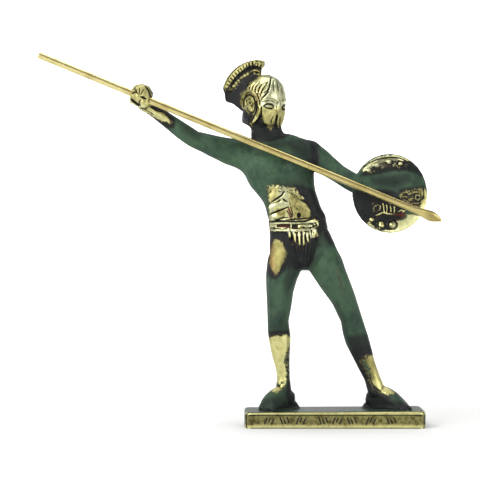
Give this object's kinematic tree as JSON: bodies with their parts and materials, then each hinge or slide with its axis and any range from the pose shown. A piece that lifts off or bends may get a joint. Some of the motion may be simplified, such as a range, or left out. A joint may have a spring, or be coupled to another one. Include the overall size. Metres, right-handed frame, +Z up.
{
  "type": "spartan warrior statuette",
  "caption": "Small cast brass statuette of a Spartan warrior in a crested helmet, throwing a spear and holding out a round shield, on a low oblong plinth.",
  "frame": {"origin": "middle of the plinth's flat underside, on the surface it stands on", "axes": "+X along the plinth to the warrior's left, on the shield's side; +Y to the back of the figure, away from its chest; +Z up"},
  "size_m": [0.179, 0.0281, 0.1669],
  "materials": {
    "patinated_brass": "cast brass under a dark green and black patina, rubbed back to bright brass on the helmet, belly, hand, shins, shield edge and plinth front",
    "polished_brass": "drawn brass rod, polished along its length"
  },
  "bodies": {
    "root": {"warrior_with_plinth": "patinated_brass", "spear": "polished_brass"}
  },
  "joints": []
}
